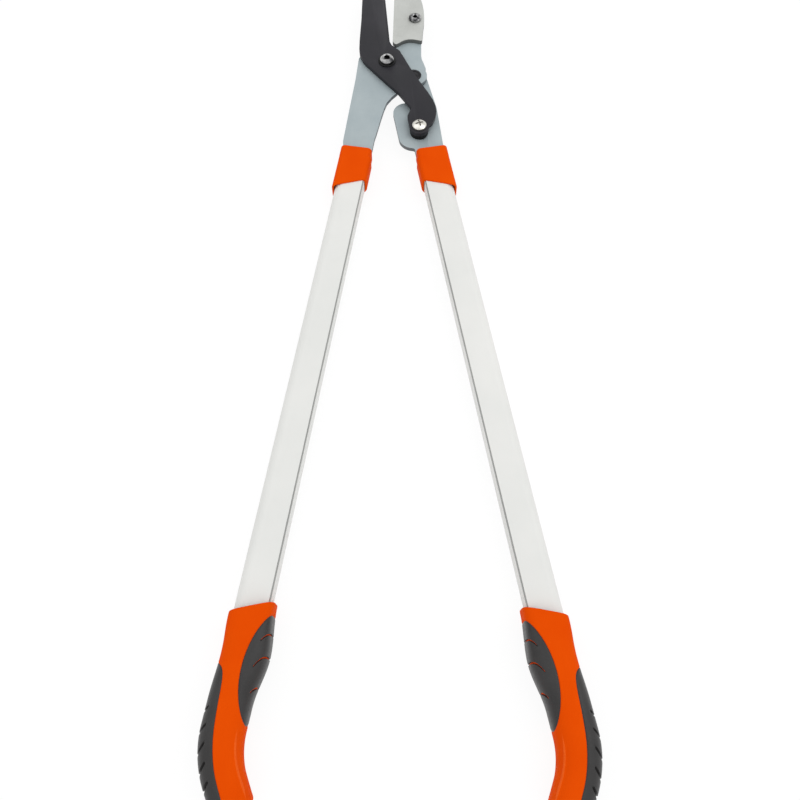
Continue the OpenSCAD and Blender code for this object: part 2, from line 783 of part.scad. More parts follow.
// Skins a row of rings of equal count with triangles and caps both ends
module skin(rings) {
    n = len(rings[0]);
    last = len(rings) - 1;
    points = [for (ring = rings) each ring];
    polyhedron(points, concat(
        [[for (i = [0:n - 1]) i]],
        [for (r = [0:last - 1], i = [0:n - 1]) [r * n + i, r * n + n + i, r * n + (i + 1) % n]],
        [for (r = [0:last - 1], i = [0:n - 1])
            [r * n + (i + 1) % n, r * n + n + i, r * n + n + (i + 1) % n]],
        [[for (i = [n - 1:-1:0]) last * n + i]]));
}

module grip_form() {
    skin([for (s = grip_stations) grip_ring(s[0], s[1])]);
}

// A band along the grip between two distances from its middle line
module grip_band(inner, outer, from, to, steps) {
    polygon(concat(
        [for (i = [0:steps]) let (t = mix(from, to, i / steps)) grip_mid(t) + inner * grip_across(t)],
        [for (i = [steps:-1:0]) let (t = mix(from, to, i / steps)) grip_mid(t) + outer * grip_across(t)]));
}

// The hard core that the pads are moulded on
module pad_core(grow) {
    wide = core_half_w + grow;
    narrow = core_flat_w + grow;
    low = core_side_t + grow;
    high = core_half_t + grow;
    past = 12;
    translate([0, 0, -low]) linear_extrude(2 * low) grip_band(-wide, wide, -past, grip_len + past, 24);
    translate([0, 0, -high]) linear_extrude(2 * high)
        grip_band(-narrow, narrow, -past, grip_len + past, 24);
    tube_room();
}

module tube_room() {
    along_handle(-top_margin, tube_in_grip + fixed_gap) tube_section(2 * fixed_gap);
}

// The eye-shaped pad's outline is the part of a large circle that the grip's inner side cuts off
module inner_pad_cutter(grow) {
    translate([-pad_edge - pad_r, -pad_mid, -2 * grip_half_t])
        cylinder(r = pad_r + grow, h = 4 * grip_half_t, $fn = 96);
}

// The outer pad starts as a point on the outer side and widens towards the butt
function strip_offset(t) = mix(
    mix(grip_half_w + 1.7, strip_shoulder, pow(clamped((t - strip_start) / strip_lead), 0.6)),
    strip_edge, smooth((t - strip_start - strip_lead) / strip_widening));

module outer_pad_cutter(grow) {
    steps = 20;
    stop = grip_len + 4 * butt_round;
    translate([0, 0, -2 * grip_half_t]) linear_extrude(4 * grip_half_t) polygon(concat(
        [for (i = [0:steps]) let (t = mix(strip_start, stop, i / steps))
            grip_mid(t) + (strip_offset(t) - grow) * grip_across(t)],
        [for (i = [steps:-1:0]) let (t = mix(strip_start, stop, i / steps))
            grip_mid(t) + 2 * grip_half_w * grip_across(t)]));
}

module grip_inner_pad(grip_start) {
    color(pad_grey) translate([0, -grip_start, 0]) difference() {
        intersection() {
            grip_form();
            inner_pad_cutter(-fixed_gap);
        }
        pad_core(fixed_gap);
    }
}

module grip_outer_pad(grip_start) {
    color(pad_grey) translate([0, -grip_start, 0]) difference() {
        intersection() {
            grip_form();
            outer_pad_cutter(-fixed_gap);
        }
        pad_core(fixed_gap);
    }
}

module grip_body(grip_start) {
    color(orange_plastic) translate([0, -grip_start, 0]) difference() {
        grip_form();
        difference() {
            union() {
                inner_pad_cutter(0);
                outer_pad_cutter(0);
            }
            pad_core(0);
        }
        tube_room();
    }
}

// Left handle

module left_collar() { left_handle() handle_collar(anvil_plate_z); }
module left_tube() { left_handle() handle_tube(left_grip_start); }
module left_tang_insert() { left_handle() tang_insert(anvil_plate_z); }
module left_tang_rivets() { left_handle() tang_rivets(); }
module left_grip_body() { left_handle() grip_body(left_grip_start); }
module left_grip_inner_pad() { left_handle() grip_inner_pad(left_grip_start); }
module left_grip_outer_pad() { left_handle() grip_outer_pad(left_grip_start); }

// Right handle

module right_collar() { right_handle() handle_collar(lever_plate_z); }
module right_tube() { right_handle() handle_tube(right_grip_start); }
module right_tang_insert() { right_handle() tang_insert(lever_plate_z); }
module right_tang_rivets() { right_handle() tang_rivets(); }
module right_grip_body() { right_handle() grip_body(right_grip_start); }
module right_grip_inner_pad() { right_handle() grip_inner_pad(right_grip_start); }
module right_grip_outer_pad() { right_handle() grip_outer_pad(right_grip_start); }

anvil_plate();
anvil();
anvil_screw();
anvil_nut();
main_pivot_bolt();
main_pivot_washer();
main_pivot_sleeve();
main_pivot_shim();
main_pivot_back_washer();
main_pivot_nut();
handle_pivot_bolt();
handle_pivot_shim();
handle_pivot_washer();
handle_pivot_nut();
blade_lever();
slide_screw();
slide_bush();
slide_washer();
slide_nut();
lever_plate();
left_collar();
left_tube();
left_tang_insert();
left_tang_rivets();
left_grip_body();
left_grip_inner_pad();
left_grip_outer_pad();
right_collar();
right_tube();
right_tang_insert();
right_tang_rivets();
right_grip_body();
right_grip_inner_pad();
right_grip_outer_pad();
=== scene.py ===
import bpy
import bmesh
import json
import math
import numpy as np
from mathutils import Matrix, Vector

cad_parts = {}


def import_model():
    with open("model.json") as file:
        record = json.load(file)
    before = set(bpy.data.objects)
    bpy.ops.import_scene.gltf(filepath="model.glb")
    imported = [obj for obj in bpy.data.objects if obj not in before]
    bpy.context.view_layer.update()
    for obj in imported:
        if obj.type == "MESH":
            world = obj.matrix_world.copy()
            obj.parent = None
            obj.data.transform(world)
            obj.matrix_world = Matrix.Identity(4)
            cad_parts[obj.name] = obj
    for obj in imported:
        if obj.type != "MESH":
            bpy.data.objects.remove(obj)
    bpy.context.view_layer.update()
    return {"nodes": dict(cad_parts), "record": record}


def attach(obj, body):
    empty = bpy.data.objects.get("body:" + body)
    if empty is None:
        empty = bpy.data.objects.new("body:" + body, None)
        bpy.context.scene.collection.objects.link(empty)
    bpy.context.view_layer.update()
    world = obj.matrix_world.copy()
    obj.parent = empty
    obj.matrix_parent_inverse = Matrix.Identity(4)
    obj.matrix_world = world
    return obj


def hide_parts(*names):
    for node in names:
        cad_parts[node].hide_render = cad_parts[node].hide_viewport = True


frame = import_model()
nodes = frame["nodes"]

# Sizes in millimetres, the same as in the part's source
MAIN_PIVOT = (-13.75, 272.4)
HANDLE_PIVOT = (12.65, 257.9)
HANDLE_HEIGHT = 15.5
LEFT_LEAN = 8.7
RIGHT_LEAN = 10.0
LEFT_AXIS_X = -9.9
RIGHT_AXIS_X = -1.3
LEFT_REACH = 114.0
RIGHT_REACH = 98.0
GRIP_START = {"left": 426.0, "right": 430.5}
TUBE_W = 26.0
TUBE_T = 16.0
RAIL_LINE = 12.25
RAIL_STEP = 1.1
TUBE_CORNER_R = 0.4
TUBE_INSET = 13.0
TUBE_IN_GRIP = 76.0
COLLAR_W = 30.2
COLLAR_T = 19.0
COLLAR_R = 6.5
COLLAR_LEN = 48.6
COLLAR_SLANT = 21.5
LIP_LEN = 10.0
LIP_STEP = 1.1
LIP_CORNER_R = 4.0
GRIP_HALF_W = 16.8
TOP_HALF_W = 15.6
WAIST_HALF_W = 15.1
GRIP_HALF_T = 15.5
GRIP_STRAIGHT = 80.5
BEND_R = 59.0
BEND_TURN = 32.0
GRIP_TAIL = 17.5
BUTT_SLANT = 14.0
BUTT_TAPER = 1.2
BOW = 2.7
TOP_SHIFT = 0.8
WAIST_SHIFT = 0.6
RIM_SLANT = 20.0
GRIP_POWER = 2.5
BUTT_ROUND = 3.5
PAD_R = 66.7
PAD_EDGE = 4.7
PAD_MID = 41.8
# Outer pad's edge: length along the grip and distance from its middle line
STRIP = [(39, 18.5), (40.5, 15.5), (42.5, 11.8), (45, 9.9), (48, 8.5), (52, 7.2), (57, 6.1), (62, 5.45),
         (67, 5.05), (72, 4.6), (78, 3.9), (84, 3.15), (90, 2.7), (96, 2.45), (104, 2.45), (112, 2.65),
         (120, 2.85), (150, 2.9)]
SKIN_INSET = 0.08
RIDGE_PLACE = 11.3
RIDGE_RISE = 0.45

# Grooves of the inner pad: place at the side, place and reach of the inner end
GROOVES = [(16.4, 22.5, -13.4), (32.0, 39.8, -12.2), (50.3, 56.2, -13.4)]
# Notches of the outer pad: place at the side, length across, rise for each millimetre across
NOTCHES = [(72.5, 4.4, 1.1), (85.5, 5.9, 1.2), (96.0, 7.0, 1.1), (105.5, 7.4, 0.9), (114.3, 7.0, 0.7)]


# Materials

def srgb(r, g, b):
    def lin(c):
        c /= 255.0
        return c / 12.92 if c <= 0.04045 else ((c + 0.055) / 1.055) ** 2.4
    return (lin(r), lin(g), lin(b), 1.0)


class Shader:
    """A node tree under a principled shader, with short calls for the nodes used here."""

    def __init__(self, name):
        self.material = bpy.data.materials.new(name)
        self.material.use_nodes = True
        self.tree = self.material.node_tree
        self.bsdf = self.tree.nodes["Principled BSDF"]
        self.coords = self.node("ShaderNodeTexCoord")

    def node(self, kind, **values):
        node = self.tree.nodes.new(kind)
        for key, value in values.items():
            setattr(node, key, value)
        return node

    def link(self, a, b):
        self.tree.links.new(a, b)

    def noise(self, scale, detail=4.0, rough=0.5, stretch=None):
        source = self.coords.outputs["Object"]
        if stretch:
            mapping = self.node("ShaderNodeMapping")
            mapping.inputs["Scale"].default_value = stretch
            self.link(source, mapping.inputs["Vector"])
            source = mapping.outputs["Vector"]
        noise = self.node("ShaderNodeTexNoise")
        noise.inputs["Scale"].default_value = scale
        noise.inputs["Detail"].default_value = detail
        noise.inputs["Roughness"].default_value = rough
        self.link(source, noise.inputs["Vector"])
        return noise.outputs["Fac"]

    def spread(self, fac, low, high, to_low=0.0, to_high=1.0):
        node = self.node("ShaderNodeMapRange")
        for key, value in (("From Min", low), ("From Max", high), ("To Min", to_low), ("To Max", to_high)):
            node.inputs[key].default_value = value
        self.link(fac, node.inputs["Value"])
        return node.outputs["Result"]

    def sides(self, low, high):
        """One on upright faces and zero on flat ones, by the slope of the surface itself."""
        split = self.node("ShaderNodeSeparateXYZ")
        self.link(self.coords.outputs["Normal"], split.inputs[0])
        size = self.node("ShaderNodeMath", operation="ABSOLUTE")
        self.link(split.outputs["Z"], size.inputs[0])
        return self.spread(size.outputs[0], low, high)

    def mix(self, fac, a, b):
        node = self.node("ShaderNodeMix", data_type="RGBA")
        self.link(fac, node.inputs["Factor"])
        for value, place in ((a, 6), (b, 7)):
            if isinstance(value, tuple):
                node.inputs[place].default_value = value
            else:
                self.link(value, node.inputs[place])
        return node.outputs[2]

    def bump(self, height, distance, strength=1.0, under=None):
        node = self.node("ShaderNodeBump")
        node.inputs["Distance"].default_value = distance
        node.inputs["Strength"].default_value = strength
        self.link(height, node.inputs["Height"])
        if under is not None:
            self.link(under, node.inputs["Normal"])
        return node.outputs["Normal"]

    def done(self, colour=None, rough=None, normal=None, **values):
        for key, value in values.items():
            self.bsdf.inputs[key.replace("_", " ")].default_value = value
        for value, place in ((colour, "Base Color"), (rough, "Roughness"), (normal, "Normal")):
            if value is None:
                continue
            if isinstance(value, (tuple, float)):
                self.bsdf.inputs[place].default_value = value
            else:
                self.link(value, self.bsdf.inputs[place])
        return self.material


def painted_plate():
    s = Shader("painted_plate")
    blotch = s.spread(s.noise(38, 3), 0.35, 0.65)
    fine = s.noise(900, 2)
    colour = s.mix(blotch, srgb(157, 169, 173), srgb(166, 177, 180))
    speck = s.spread(s.noise(2600, 2), 0.68, 0.74)
    colour = s.mix(speck, colour, srgb(180, 189, 193))
    # Painted shade: upright faces, the plate's cut edges, are mixed to a darker blue-grey
    colour = s.mix(s.sides(0.75, 0.35), colour, srgb(104, 112, 116))
    normal = s.bump(fine, 0.00004, 0.5)
    return s.done(colour, s.spread(s.noise(260, 3), 0.3, 0.7, 0.42, 0.52), normal,
                  Specular_IOR_Level=0.45)


def coated_blade():
    s = Shader("coated_blade")
    lines = s.noise(300, 5, 0.6, stretch=(1.0, 0.06, 1.0))
    blotch = s.spread(s.noise(30, 3), 0.3, 0.7)
    colour = s.mix(blotch, srgb(39, 39, 43), srgb(46, 45, 50))
    speck = s.spread(s.noise(1800, 2), 0.7, 0.78)
    colour = s.mix(speck, colour, srgb(68, 68, 73))
    normal = s.bump(lines, 0.00003, 0.35, s.bump(s.noise(1500, 2), 0.00003, 0.5))
    return s.done(colour, s.spread(lines, 0.3, 0.7, 0.42, 0.5), normal, Specular_IOR_Level=0.2)


def cast_anvil():
    s = Shader("cast_anvil")
    blotch = s.spread(s.noise(55, 4), 0.35, 0.65)
    colour = s.mix(blotch, srgb(182, 184, 180), srgb(192, 194, 190))
    grain = s.noise(1500, 3, 0.6)
    colour = s.mix(s.spread(grain, 0.58, 0.72), colour, srgb(206, 207, 204))
    # Painted shade: upright faces of the anvil are mixed to dark grey
    colour = s.mix(s.sides(0.75, 0.35), colour, srgb(96, 98, 97))
    normal = s.bump(grain, 0.00006, 0.6)
    return s.done(colour, s.spread(s.noise(420, 3), 0.3, 0.7, 0.5, 0.6), normal, Metallic=0.0,
                  Specular_IOR_Level=0.35)


def steel(name, base, high, rough_low, rough_high):
    s = Shader(name)
    turn = s.noise(700, 4, 0.6)
    colour = s.mix(s.spread(s.noise(160, 3), 0.35, 0.65), base, high)
    normal = s.bump(turn, 0.00002, 0.4)
    return s.done(colour, s.spread(turn, 0.3, 0.7, rough_low, rough_high), normal, Metallic=1.0)


def black_nylon():
    s = Shader("black_nylon")
    grain = s.noise(1300, 3)
    colour = s.mix(s.spread(grain, 0.4, 0.7), srgb(11, 11, 12), srgb(18, 18, 19))
    return s.done(colour, s.spread(s.noise(300, 3), 0.3, 0.7, 0.45, 0.6), s.bump(grain, 0.00004, 0.5),
                  Specular_IOR_Level=0.25)


def tube_aluminium(name="tube_aluminium", low=srgb(222, 223, 220), high=srgb(229, 229, 226)):
    s = Shader(name)
    draw = s.noise(420, 4, 0.55, stretch=(1.0, 0.02, 1.0))
    blotch = s.spread(s.noise(18, 3), 0.3, 0.7)
    colour = s.mix(blotch, low, high)
    grain = s.noise(2400, 2)
    normal = s.bump(draw, 0.00002, 0.3, s.bump(grain, 0.00002, 0.5))
    return s.done(colour, s.spread(draw, 0.3, 0.7, 0.42, 0.5), normal, Specular_IOR_Level=0.2)


def orange_plastic():
    s = Shader("orange_plastic")
    blotch = s.spread(s.noise(26, 3), 0.3, 0.7)
    colour = s.mix(blotch, srgb(223, 73, 4), srgb(229, 80, 6))
    grain = s.noise(1700, 3, 0.6)
    colour = s.mix(s.spread(grain, 0.62, 0.8), colour, srgb(233, 93, 15))
    normal = s.bump(grain, 0.00004, 0.45, s.bump(s.noise(120, 2), 0.00006, 0.25))
    return s.done(colour, s.spread(s.noise(500, 3), 0.3, 0.7, 0.5, 0.6), normal,
                  Specular_IOR_Level=0.012, Specular_Tint=(1.0, 0.36, 0.06, 1.0))


# Painted highlight: a lighter orange for a strip along the crest of the grips' ridge
def orange_painted_highlight():
    s = Shader("orange_painted_highlight")
    grain = s.noise(900, 3, 0.6)
    colour = s.mix(s.spread(grain, 0.35, 0.7), srgb(229, 84, 12), srgb(236, 97, 24))
    return s.done(colour, s.spread(s.noise(500, 3), 0.3, 0.7, 0.4, 0.5), s.bump(grain, 0.00003, 0.4),
                  Specular_IOR_Level=0.08)


def grip_rubber():
    s = Shader("grip_rubber")
    blotch = s.spread(s.noise(40, 4), 0.3, 0.7)
    colour = s.mix(blotch, srgb(46, 45, 45), srgb(55, 54, 54))
    grain = s.noise(1400, 4, 0.65)
    colour = s.mix(s.spread(grain, 0.6, 0.75), colour, srgb(70, 69, 69))
    return s.done(colour, s.spread(s.noise(500, 3), 0.3, 0.7, 0.34, 0.46), s.bump(grain, 0.00006, 0.5),
                  Specular_IOR_Level=0.27)


MATERIALS = {
    "painted_plate": painted_plate(),
    "coated_blade": coated_blade(),
    "cast_anvil": cast_anvil(),
    # dark_screw's colour is a dark coating blotched up to bright grey; the bright blotches are painted reflection on
    # the heads
    "dark_screw": steel("dark_screw", srgb(52, 52, 54), srgb(196, 196, 196), 0.12, 0.24),
    "blackened_steel": steel("blackened_steel", srgb(48, 48, 50), srgb(64, 64, 66), 0.34, 0.46),
    "plated_steel": steel("plated_steel", srgb(205, 203, 196), srgb(226, 224, 217), 0.2, 0.3),
    "black_nylon": black_nylon(),
    # Painted shade: darker steel for the slide screw's cross recess
    "recess_painted_shade": steel("recess_painted_shade", srgb(122, 119, 113), srgb(160, 157, 149), 0.35, 0.45),
    # Painted shade: near-black steel for the inside of the hexagon sockets
    "socket_painted_shade": steel("socket_painted_shade", srgb(16, 16, 17), srgb(26, 26, 27), 0.4, 0.5),
    "tube_aluminium": tube_aluminium(),
    # Painted shade: darker aluminium for the pressed-in line along the tubes
    "tube_line": tube_aluminium("tube_line", srgb(166, 167, 165), srgb(176, 177, 174)),
    "orange_plastic": orange_plastic(),
    "orange_painted_highlight": orange_painted_highlight(),
    "grip_rubber": grip_rubber(),
}

BODY_OF = {}
for body_name, members in frame["record"]["behaviour"]["bodies"].items():
    for member in members:
        BODY_OF[member] = body_name

SLOT_OF = {
    "anvil_plate": "painted_plate", "lever_plate": "painted_plate", "blade_lever": "coated_blade",
    "anvil": "cast_anvil", "anvil_screw": "dark_screw", "main_pivot_bolt": "dark_screw",
    "anvil_nut": "plated_steel", "main_pivot_washer": "black_nylon", "main_pivot_sleeve": "plated_steel",
    "main_pivot_shim": "plated_steel", "main_pivot_back_washer": "plated_steel",
    "main_pivot_nut": "plated_steel", "handle_pivot_bolt": "blackened_steel",
    "handle_pivot_shim": "plated_steel", "handle_pivot_washer": "plated_steel",
    "handle_pivot_nut": "plated_steel", "slide_screw": "plated_steel", "slide_bush": "black_nylon",
    "slide_washer": "plated_steel", "slide_nut": "plated_steel",
}
for side in ("left", "right"):
    SLOT_OF[side + "_collar"] = "orange_plastic"
    SLOT_OF[side + "_tube"] = "tube_aluminium"
    SLOT_OF[side + "_tang_insert"] = "black_nylon"
    SLOT_OF[side + "_tang_rivets"] = "plated_steel"
    SLOT_OF[side + "_grip_body"] = "orange_plastic"
    SLOT_OF[side + "_grip_inner_pad"] = "grip_rubber"
    SLOT_OF[side + "_grip_outer_pad"] = "grip_rubber"

for name, obj in nodes.items():
    obj.data.materials.clear()
    obj.data.materials.append(MATERIALS[SLOT_OF[name]])


# Frames of the two handles: x away from the other handle, y up the handle, z to the front

def turned(x, y, degrees):
    c, s = math.cos(math.radians(degrees)), math.sin(math.radians(degrees))
    return x * c - y * s, x * s + y * c


def handle_matrix(side):
    """From the handle's own millimetres to the part's metres."""
    if side == "left":
        place = Matrix.Translation((LEFT_AXIS_X, -LEFT_REACH, HANDLE_HEIGHT)) @ Matrix.Diagonal((-1, 1, 1, 1))
        lean, pivot = -LEFT_LEAN, MAIN_PIVOT
    else:
        place = Matrix.Translation((RIGHT_AXIS_X, -RIGHT_REACH, HANDLE_HEIGHT))
        lean, pivot = RIGHT_LEAN, HANDLE_PIVOT
    turn = Matrix.Rotation(math.radians(lean), 4, "Z")
    return Matrix.Scale(0.001, 4) @ Matrix.Translation((pivot[0], pivot[1], 0)) @ turn @ place


def build(name, points, faces, side, body, slot, stands_for, sharp=38.0):
    """A new piece from points in the handle's millimetres."""
    mesh = bpy.data.meshes.new(name)
    m = np.array(handle_matrix(side))
    pts = np.c_[np.array(points, float), np.ones(len(points))] @ m.T
    if side == "left":
        faces = [tuple(reversed(f)) for f in faces]
    mesh.from_pydata([tuple(p[:3]) for p in pts], [], [tuple(f) for f in faces])
    mesh.update()
    return finish_piece(bpy.data.objects.new(name, mesh), body, slot, stands_for, sharp)


def finish_piece(obj, body, slot, stands_for, sharp=38.0):
    if obj.name not in bpy.context.scene.collection.objects:
        bpy.context.scene.collection.objects.link(obj)
    obj.data.materials.clear()
    obj.data.materials.append(MATERIALS[slot])
    for polygon in obj.data.polygons:
        polygon.use_smooth = True
    obj.data.set_sharp_from_angle(angle=math.radians(sharp))
    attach(obj, body)
    if stands_for:
        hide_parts(*stands_for)
    return obj


# Rigid pieces: the CAD solid's form with softened edges

def softened(name, width, segments=2, sharp=38.0, limit=40.0):
    """A copy of a CAD node with its hard edges rounded over."""
    source = nodes[name]
    mesh = source.data.copy()
    mesh.name = name + "_look"
    work = bmesh.new()
    work.from_mesh(mesh)
    bmesh.ops.remove_doubles(work, verts=work.verts, dist=2e-6)
    bmesh.ops.dissolve_limit(work, angle_limit=math.radians(0.8), verts=work.verts, edges=work.edges)
    bmesh.ops.recalc_face_normals(work, faces=work.faces)
    work.to_mesh(mesh)
    work.free()
    obj = bpy.data.objects.new(name + "_look", mesh)
    bpy.context.scene.collection.objects.link(obj)
    for polygon in mesh.polygons:
        polygon.use_smooth = True
    bevel = obj.modifiers.new("edge", "BEVEL")
    bevel.width = width / 1000
    bevel.segments = segments
    bevel.limit_method = "ANGLE"
    bevel.angle_limit = math.radians(limit)
    bevel.use_clamp_overlap = True
    bevel.harden_normals = False
    bpy.context.view_layer.update()
    graph = bpy.context.evaluated_depsgraph_get()
    baked = bpy.data.meshes.new_from_object(obj.evaluated_get(graph))
    obj.modifiers.clear()
    obj.data = baked
    return finish_piece(obj, BODY_OF[name], SLOT_OF[name], [name], sharp)


for piece, width in (
        ("anvil_plate", 0.35), ("lever_plate", 0.35), ("blade_lever", 0.25), ("anvil", 0.7),
        ("handle_pivot_bolt", 0.2),
        ("slide_screw", 0.2), ("slide_bush", 0.3), ("main_pivot_washer", 0.2),
        ("main_pivot_back_washer", 0.2), ("handle_pivot_washer", 0.2), ("slide_washer", 0.2),
        ("main_pivot_nut", 0.15), ("handle_pivot_nut", 0.15), ("slide_nut", 0.15), ("anvil_nut", 0.15)):
    softened(piece, width)


def slide_head():
    """Set the slide screw's dome on a straight rim, and paint its cross recess darker with a material of its own, as
    painted shade.
    """
    seat, rim, flatter, dome_r, top = 24.5, 1.2, 0.81, 8.0, 28.7
    screw = bpy.data.objects["slide_screw_look"]
    points = [v.co * 1000 for v in screw.data.vertices]
    head = [v for v in points if v.z > seat + 1]
    mid_x, mid_y = ((min(v[k] for v in head) + max(v[k] for v in head)) / 2 for k in (0, 1))

    def sunk(polygon):
        c = polygon.center * 1000
        out = math.hypot(c.x - mid_x, c.y - mid_y)
        return seat + 1 < c.z and out < 4.2 and c.z < top - dome_r + math.sqrt(dome_r ** 2 - out ** 2) - 0.22

    kept, recess = [], []
    for polygon in screw.data.polygons:
        (recess if sunk(polygon) else kept).append(tuple(polygon.vertices))
    lifted = [(v.x, v.y, v.z if v.z < seat + 0.05 else seat + rim + (v.z - seat) * flatter) for v in points]
    for suffix, faces in (("_look", kept), ("_recess", recess)):
        used = sorted({i for f in faces for i in f})
        index = {old: new for new, old in enumerate(used)}
        mesh = bpy.data.meshes.new("slide_screw" + suffix)
        mesh.from_pydata([tuple(c / 1000 for c in lifted[i]) for i in used], [],
                         [tuple(index[i] for i in f) for f in faces])
        if suffix == "_look":
            screw.data = mesh
            finish_piece(screw, "blade", "plated_steel", [], 38)
        else:
            finish_piece(bpy.data.objects.new("slide_screw_recess", mesh), "blade", "plated_steel", [], 38)
            # The recess faces get the darker steel: painted shade
            mesh.materials[0] = MATERIALS["recess_painted_shade"]


slide_head()


# Button-headed bolts, with a countersunk hexagon socket and a chamfered end

def button_bolt(name, centre, base, head_d, head_h, rim_h, shank_d, low, socket_w):
    turns = 72
    dome_h = head_h - rim_h
    dome_r = (head_d ** 2 / 4 + dome_h ** 2) / (2 * dome_h)
    mouth = socket_w / 2 / math.cos(math.radians(30)) + 0.75
    rings = [(shank_d / 2 - 0.6, low, 0), (shank_d / 2, low + 0.7, 0)]
    for k in range(1, 6):
        rings += [(shank_d / 2 - 0.35, low + 0.7 + 0.9 * k - 0.45, 0), (shank_d / 2, low + 0.7 + 0.9 * k, 0)]
    rings += [(shank_d / 2, base + 0.01, 0), (head_d / 2 - 0.35, base + 0.01, 0), (head_d / 2 - 0.02, base + 0.3, 0),
              (head_d / 2 - 0.02, base + rim_h - 0.2, 0)]
    for k in range(11):
        rr = head_d / 2 - 0.12 - (head_d / 2 - 0.12 - mouth - 0.15) * k / 10
        rings.append((rr, base + head_h - dome_r + math.sqrt(dome_r ** 2 - rr ** 2), 0))
    top = base + head_h - dome_r + math.sqrt(dome_r ** 2 - mouth ** 2)
    rings += [(mouth, top - 0.06, 0), (mouth - 0.35, top - 0.45, 0.3), (0, top - 0.75, 1), (0, base + head_h * 0.3, 1)]
    points, faces = [], []
    for radius, z, hexed in rings:
        for i in range(turns):
            a = 2 * math.pi * i / turns
            flat = (math.degrees(a) + 15) % 60 - 30
            hexagon = socket_w / 2 / math.cos(math.radians(flat))
            rr = radius * (1 - hexed) + hexagon * hexed if radius else hexagon
            points.append(((centre[0] + rr * math.cos(a)) / 1000, (centre[1] + rr * math.sin(a)) / 1000, z / 1000))
    for k in range(len(rings) - 1):
        for i in range(turns):
            j = (i + 1) % turns
            faces.append((k * turns + i, k * turns + j, (k + 1) * turns + j, (k + 1) * turns + i))
    faces.append(tuple(range(turns - 1, -1, -1)))
    mesh = bpy.data.meshes.new(name + "_look")
    mesh.from_pydata(points[:-turns], [], faces[:-turns - 1] + faces[-1:])
    finish_piece(bpy.data.objects.new(name + "_look", mesh), BODY_OF[name], SLOT_OF[name], [name], 32)
    socket = bpy.data.meshes.new(name + "_socket")
    walls = [tuple(v - (len(rings) - 2) * turns for v in face) for face in faces[-turns - 1:-1]]
    socket.from_pydata(points[-2 * turns:], [], walls + [tuple(turns + i for i in range(turns))])
    finish_piece(bpy.data.objects.new(name + "_socket", socket), BODY_OF[name], SLOT_OF[name], [], 32)
    # Painted shade: the socket's walls and floor are near black
    socket.materials[0] = MATERIALS["socket_painted_shade"]


ANVIL_LEAN = 1.2
ANVIL_SCREW = (27.1, 60.8)
spot = turned(ANVIL_SCREW[0], ANVIL_SCREW[1], -ANVIL_LEAN)
button_bolt("main_pivot_bolt", MAIN_PIVOT, 25.5, 14, 5.4, 2, 8, 7.0, 5.5)
button_bolt("anvil_screw", (MAIN_PIVOT[0] + spot[0], MAIN_PIVOT[1] + spot[1]), 24.5, 12.8, 4.2, 2.1, 6, 10.4, 4)


# Tubes

def tube_profile():
    """The D section, round on the outer side, with a line pressed in along the inner side."""
    half_t = TUBE_T / 2
    round_x = TUBE_W / 2 - half_t
    low = half_t - RAIL_STEP
    corner = TUBE_CORNER_R
    top = []
    for i in range(25):
        a = math.radians(90 * i / 24)
        top.append((round_x + half_t * math.cos(a), half_t * math.sin(a)))
    for off, drop in ((-0.75, 0), (-0.55, 0.06), (-0.4, 0.3), (-0.3, 0.9), (-0.15, 1.25), (0.2, 1.3), (0.4, 1.15)):
        top.append((-RAIL_LINE - off, half_t - drop))
    for i in range(9):
        a = math.radians(90 + 90 * i / 8)
        top.append((-TUBE_W / 2 + corner + corner * math.cos(a), low - corner + corner * math.sin(a)))
    bottom = [(x, -z) for x, z in reversed(top) if z > 1e-6]
    return top + bottom


def tube(side):
    profile = tube_profile()
    count = len(profile)
    stations = [TUBE_INSET] + list(np.linspace(20, GRIP_START[side] + TUBE_IN_GRIP, 60))
    points = [(x, -s, z) for s in stations for x, z in profile]
    faces, line = [], []
    for r in range(len(stations) - 1):
        for i in range(count):
            j = (i + 1) % count
            pressed = all(profile[k][0] < -RAIL_LINE + 0.45 and abs(profile[k][1]) > TUBE_T / 2 - 1.35 for k in (i, j))
            group = line if pressed else faces
            group.append((r * count + i, r * count + j, (r + 1) * count + j, (r + 1) * count + i))
    faces.append(tuple(range(count - 1, -1, -1)))
    faces.append(tuple((len(stations) - 1) * count + i for i in range(count)))
    name = side + "_tube"
    build(name + "_look", points, faces, side, BODY_OF[name], "tube_aluminium", [name], 30)
    used = sorted({i for f in line for i in f})
    index = {old: new for new, old in enumerate(used)}
    build(name + "_line", [points[i] for i in used], [tuple(index[i] for i in f) for f in line], side,
          BODY_OF[name], "tube_aluminium", [], 30)
    # Painted shade: the groove faces get the darker aluminium
    bpy.data.objects[name + "_line"].data.materials[0] = MATERIALS["tube_line"]


# Collars

def rounded_box(half_w, half_t, r, per_corner=14):
    points = []
    for cx, cz, start in ((1, 1, 0), (-1, 1, 90), (-1, -1, 180), (1, -1, 270)):
        for i in range(per_corner + 1):
            a = math.radians(start + 90 * i / per_corner)
            points.append((cx * (half_w - r) + r * math.cos(a), cz * (half_t - r) + r * math.sin(a)))
    return points


